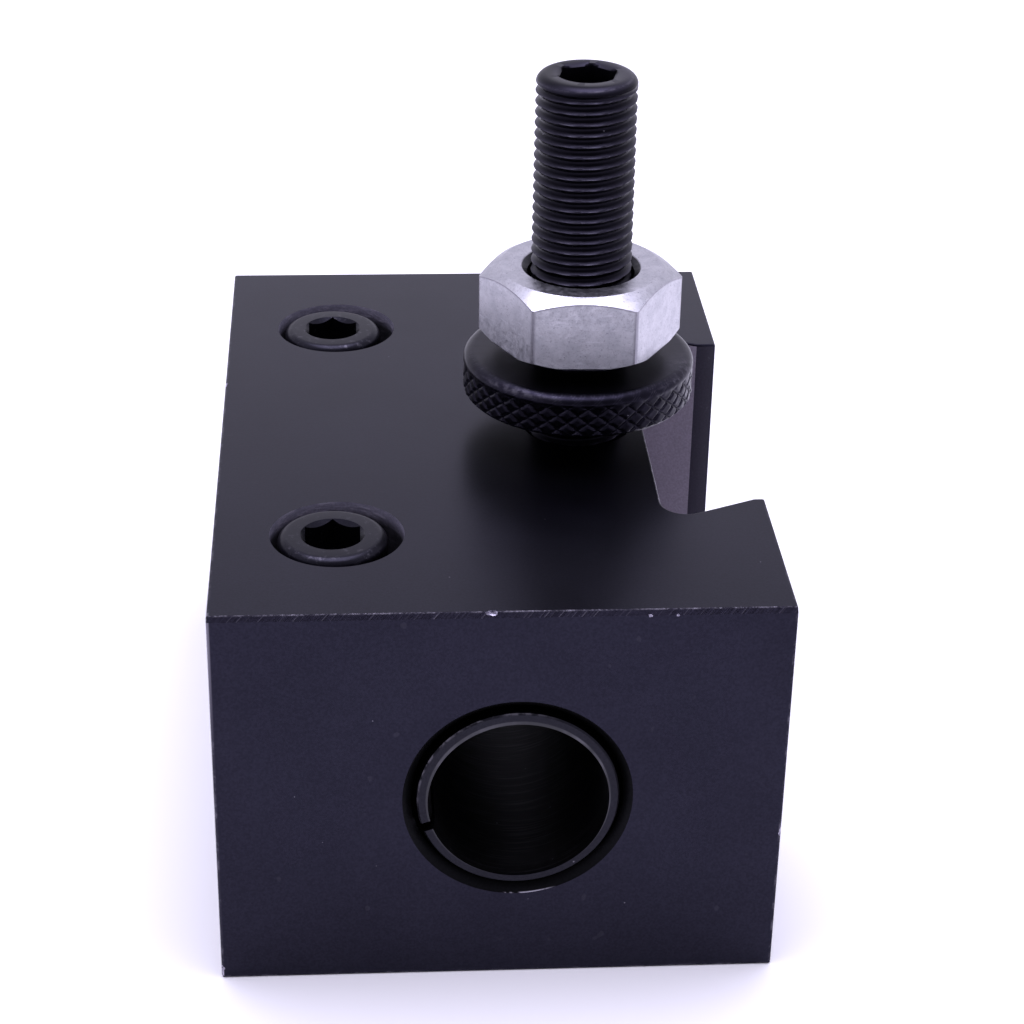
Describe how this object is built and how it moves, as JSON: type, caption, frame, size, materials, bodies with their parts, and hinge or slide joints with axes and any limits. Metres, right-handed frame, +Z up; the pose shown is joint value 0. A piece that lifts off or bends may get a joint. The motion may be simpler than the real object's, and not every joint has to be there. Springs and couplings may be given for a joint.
{
  "type": "quick change tool post boring bar holder",
  "caption": "Dovetail tool holder block with a split-sleeve boring bar bore, draw-plug clamp screws and a knurled height stop with lock nut on a threaded stud.",
  "frame": {"origin": "centre of the block's underside", "axes": "+X out of the dovetail slot, -Y out of the bore's front mouth, +Z up along the height stud"},
  "size_m": [0.051, 0.0746, 0.0741],
  "materials": {
    "black_oxide_body": "ground steel, black oxide, semi-gloss",
    "dark_sleeve_steel": "turned steel, black oxide, fine ring marks",
    "black_oxide_screw": "forged alloy steel, black oxide",
    "black_oxide_plug": "turned steel, black oxide",
    "black_oxide_stud": "rolled thread, black oxide, oily",
    "black_oxide_wheel": "diamond knurl, black oxide, semi-gloss",
    "zinc_plated_nut": "bright zinc plate, satin"
  },
  "bodies": {
    "holder": {"holder_body": "black_oxide_body", "height_stud": "black_oxide_stud"},
    "sleeve": {"split_sleeve": "dark_sleeve_steel"},
    "clamp_screw_front": {"clamp_screw_front": "black_oxide_screw"},
    "clamp_screw_rear": {"clamp_screw_rear": "black_oxide_screw"},
    "clamp_plug_front": {"clamp_plug_front": "black_oxide_plug"},
    "clamp_plug_rear": {"clamp_plug_rear": "black_oxide_plug"},
    "thumb_wheel": {"thumb_wheel": "black_oxide_wheel"},
    "lock_nut": {"lock_nut": "zinc_plated_nut"}
  },
  "joints": [
    {"name": "sleeve_slide", "type": "slide", "parent": "holder", "child": "sleeve", "axis": [0, -1, 0], "range_m": [0, 0.076]},
    {"name": "clamp_screw_front_turn", "type": "hinge", "parent": "holder", "child": "clamp_screw_front", "pos_m": [-0.0147, -0.02265, 0.0325], "axis": [0, 0, 1], "range_deg": [0, 450]},
    {"name": "clamp_screw_rear_turn", "type": "hinge", "parent": "holder", "child": "clamp_screw_rear", "pos_m": [-0.0147, 0.02265, 0.0325], "axis": [0, 0, 1], "range_deg": [0, 450]},
    {"name": "clamp_plug_front_drop", "type": "slide", "parent": "holder", "child": "clamp_plug_front", "axis": [0, 0, -1], "range_m": [0, 0.00125]},
    {"name": "clamp_plug_rear_drop", "type": "slide", "parent": "holder", "child": "clamp_plug_rear", "axis": [0, 0, -1], "range_m": [0, 0.00125]},
    {"name": "wheel_height", "type": "slide", "parent": "holder", "child": "thumb_wheel", "axis": [0, 0, 1], "range_m": [-0.0032, 0.0165]},
    {"name": "nut_height", "type": "slide", "parent": "thumb_wheel", "child": "lock_nut", "axis": [0, 0, 1], "range_m": [-0.00125, 0.002]}
  ],
  "couplings": [
    {"joint": "clamp_screw_front_turn", "follows": "clamp_plug_front_drop", "rad_per_m": 6283.2},
    {"joint": "clamp_screw_rear_turn", "follows": "clamp_plug_rear_drop", "rad_per_m": 6283.2}
  ]
}
